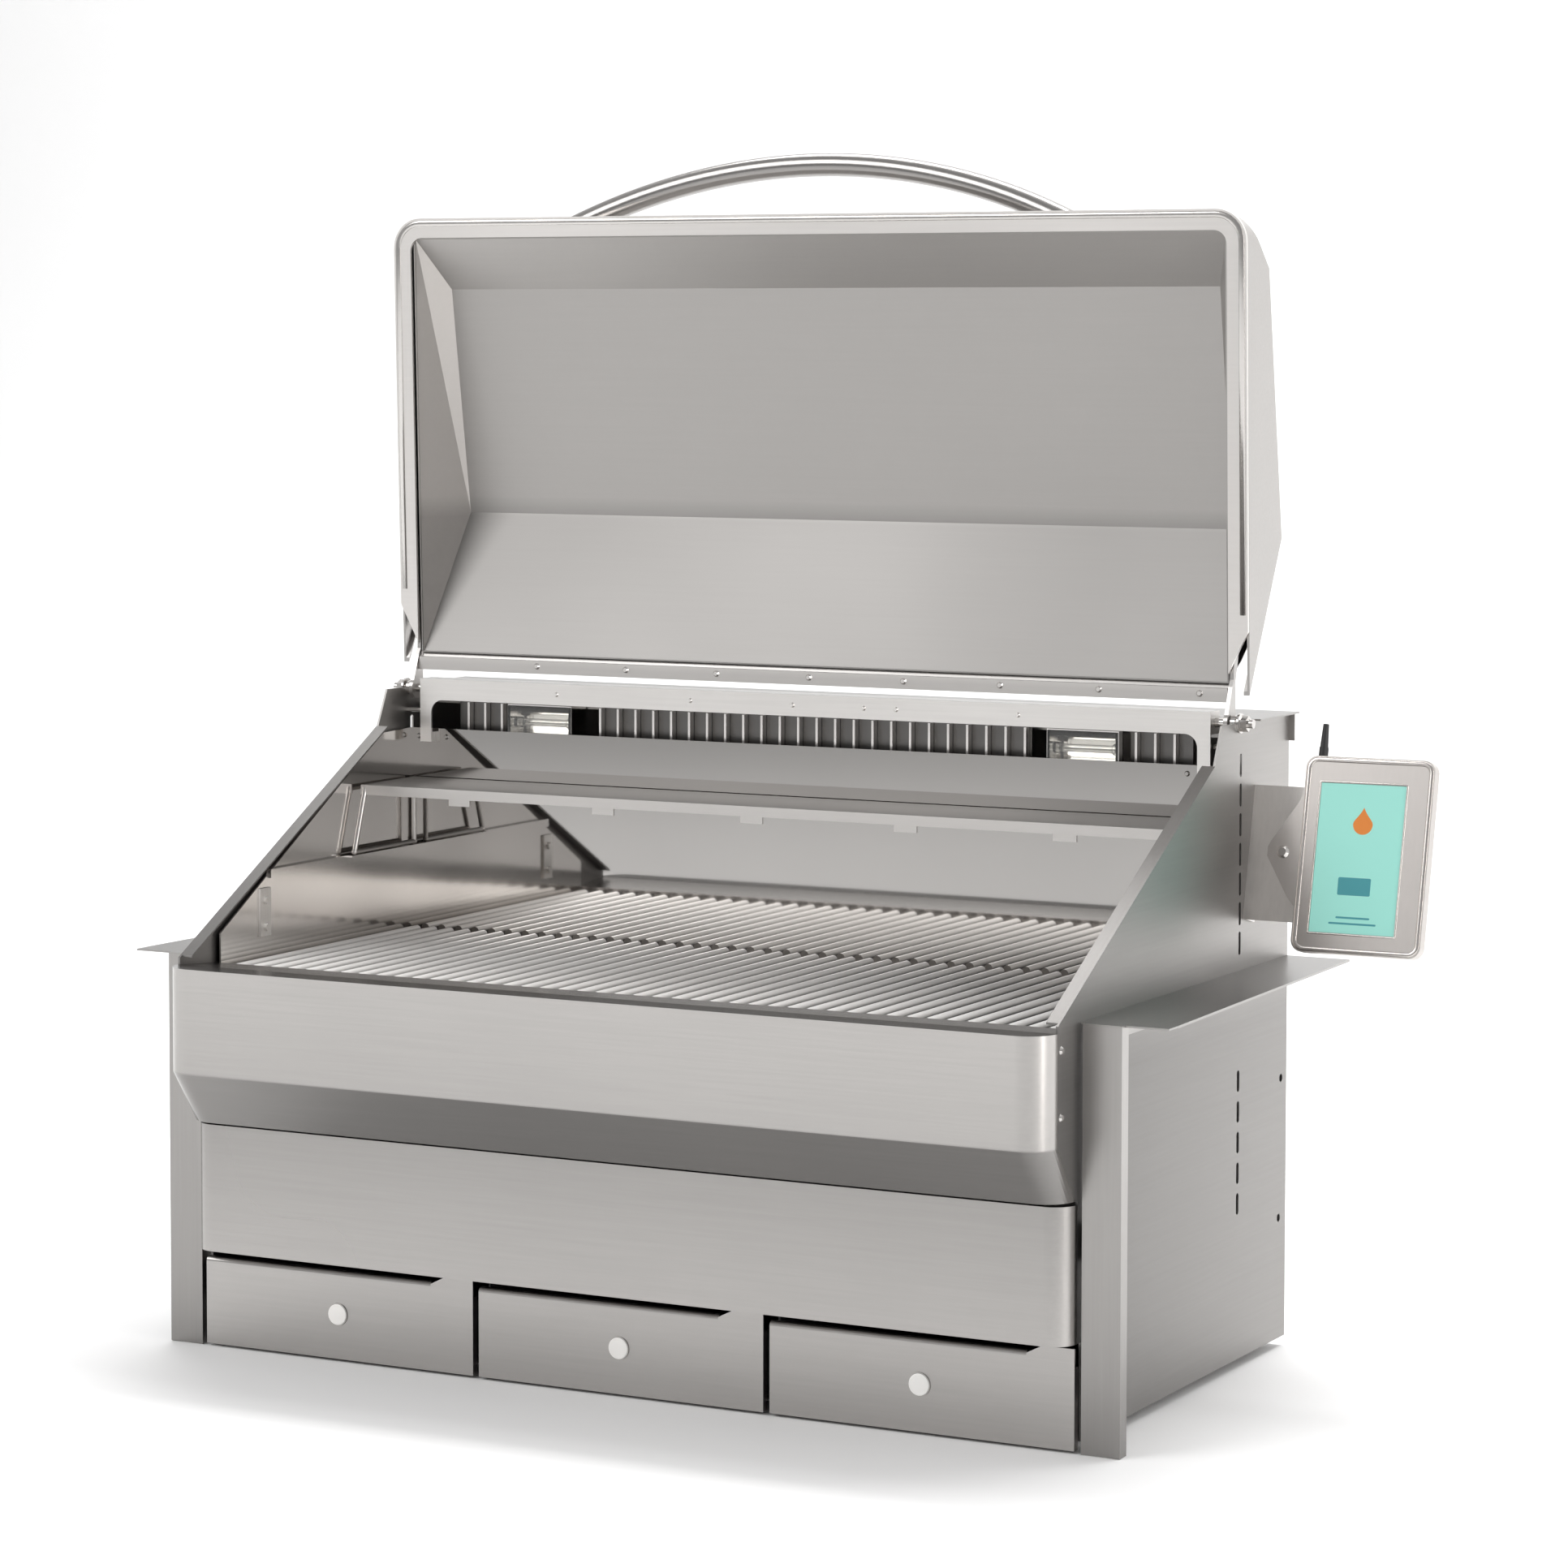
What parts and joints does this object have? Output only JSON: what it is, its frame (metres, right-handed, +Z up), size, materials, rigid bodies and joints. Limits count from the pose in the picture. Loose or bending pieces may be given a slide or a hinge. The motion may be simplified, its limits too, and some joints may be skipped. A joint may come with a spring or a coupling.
{
  "type": "built-in outdoor smoker grill",
  "caption": "Built-in outdoor smoker and grill: lift-up hood, rod grates, warming shelf, front drawers and a swivelling touch-screen control head.",
  "frame": {"origin": "middle of the cabinet's footprint, on the plane that its base rails rest on", "axes": "+X to the object's right as seen from its front, +Y to its rear, +Z up"},
  "size_m": [1.0798, 0.5135, 1.0475],
  "materials": {
    "brushed_steel": "brushed, satin",
    "bright_steel": "polished",
    "polished_hardware": "polished",
    "galvanised_sheet": "satin",
    "grate_steel": "satin",
    "hood_rim_trim": "bright satin",
    "element_sheath": "heat tinted",
    "lamp_glass": "clear",
    "head_case": "satin",
    "screen_glass": "gloss, lit",
    "black_plastic": "matte",
    "motor_black": "satin",
    "rotor_alloy": "satin"
  },
  "bodies": {
    "cabinet": {"side_panel_left": "brushed_steel", "side_panel_right": "brushed_steel", "base_pan": "galvanised_sheet", "base_rails": "galvanised_sheet", "rear_panel": "brushed_steel", "rear_top_cover": "brushed_steel", "trim_left": "brushed_steel", "trim_right": "brushed_steel", "flange_left": "brushed_steel", "flange_right": "brushed_steel", "bullnose": "bright_steel", "lower_fascia": "brushed_steel", "fascia_screws": "polished_hardware", "drawer_bay": "galvanised_sheet", "firebox_side_left": "brushed_steel", "firebox_side_right": "brushed_steel", "firebox_back": "bright_steel", "firebox_front": "brushed_steel", "firebox_floor": "galvanised_sheet", "side_rails": "brushed_steel", "rack_hooks": "bright_steel", "hinge_rail": "bright_steel", "hinge_bolts": "polished_hardware", "vent_louvre": "brushed_steel", "lamp_housings": "polished_hardware", "lamp_bulbs": "lamp_glass", "lamp_lenses": "lamp_glass", "heating_elements": "element_sheath", "heat_diffusers": "galvanised_sheet", "smoker_box": "galvanised_sheet", "temperature_probe": "polished_hardware", "fan_housing": "galvanised_sheet", "fan_motor": "motor_black", "control_box": "black_plastic", "power_inlet": "black_plastic", "controller_bracket": "brushed_steel", "controller_pivot": "polished_hardware", "drawer_stops": "galvanised_sheet"},
    "hood": {"hood_shell": "brushed_steel", "hood_liner": "brushed_steel", "hood_rim": "hood_rim_trim", "hood_arms": "brushed_steel", "hood_handle": "bright_steel", "hood_screws": "polished_hardware"},
    "warming_shelf": {"warming_shelf": "brushed_steel"},
    "grate_left": {"grate_left": "grate_steel"},
    "grate_centre": {"grate_centre": "grate_steel"},
    "grate_right": {"grate_right": "grate_steel"},
    "drawer_left": {"drawer_left_front": "brushed_steel", "drawer_left_tray": "galvanised_sheet"},
    "drawer_centre": {"drawer_centre_front": "brushed_steel", "drawer_centre_tray": "galvanised_sheet"},
    "drawer_right": {"drawer_right_front": "brushed_steel", "drawer_right_tray": "galvanised_sheet"},
    "smoker_lid": {"smoker_box_lid": "brushed_steel"},
    "fan": {"fan_rotor": "rotor_alloy"},
    "control_head": {"controller_housing": "head_case", "controller_bezel": "head_case", "controller_screen": "screen_glass", "antenna": "black_plastic"}
  },
  "joints": [
    {"name": "hood_hinge", "type": "hinge", "parent": "cabinet", "child": "hood", "pos_m": [0, 0.112, 0.5565], "axis": [1, 0, 0], "range_deg": [0, 117.3]},
    {"name": "drawer_left_slide", "type": "slide", "parent": "cabinet", "child": "drawer_left", "axis": [0, -1, 0], "range_m": [0, 0.26]},
    {"name": "drawer_centre_slide", "type": "slide", "parent": "cabinet", "child": "drawer_centre", "axis": [0, -1, 0], "range_m": [0, 0.26]},
    {"name": "drawer_right_slide", "type": "slide", "parent": "cabinet", "child": "drawer_right", "axis": [0, -1, 0], "range_m": [0, 0.26]},
    {"name": "grate_left_lift", "type": "slide", "parent": "cabinet", "child": "grate_left", "axis": [0, 0.6157, -0.788], "range_m": [-0.085, 0]},
    {"name": "grate_centre_lift", "type": "slide", "parent": "cabinet", "child": "grate_centre", "axis": [0, 0.6157, -0.788], "range_m": [-0.085, 0]},
    {"name": "grate_right_lift", "type": "slide", "parent": "cabinet", "child": "grate_right", "axis": [0, 0.6157, -0.788], "range_m": [-0.085, 0]},
    {"name": "warming_shelf_lift", "type": "slide", "parent": "cabinet", "child": "warming_shelf", "axis": [0, 0.6, -0.8], "range_m": [-0.14, 0]},
    {"name": "smoker_lid_lift", "type": "slide", "parent": "cabinet", "child": "smoker_lid", "axis": [0, 0, -1], "range_m": [-0.04, 0]},
    {"name": "fan_spin", "type": "hinge", "parent": "cabinet", "child": "fan", "pos_m": [0, 0.15, 0.2], "axis": [0, 1, 0], "continuous": true},
    {"name": "control_head_swivel", "type": "hinge", "parent": "cabinet", "child": "control_head", "pos_m": [0.458, 0.112, 0.449], "axis": [0, -0.9744, 0.225], "range_deg": [-15, 15]}
  ]
}
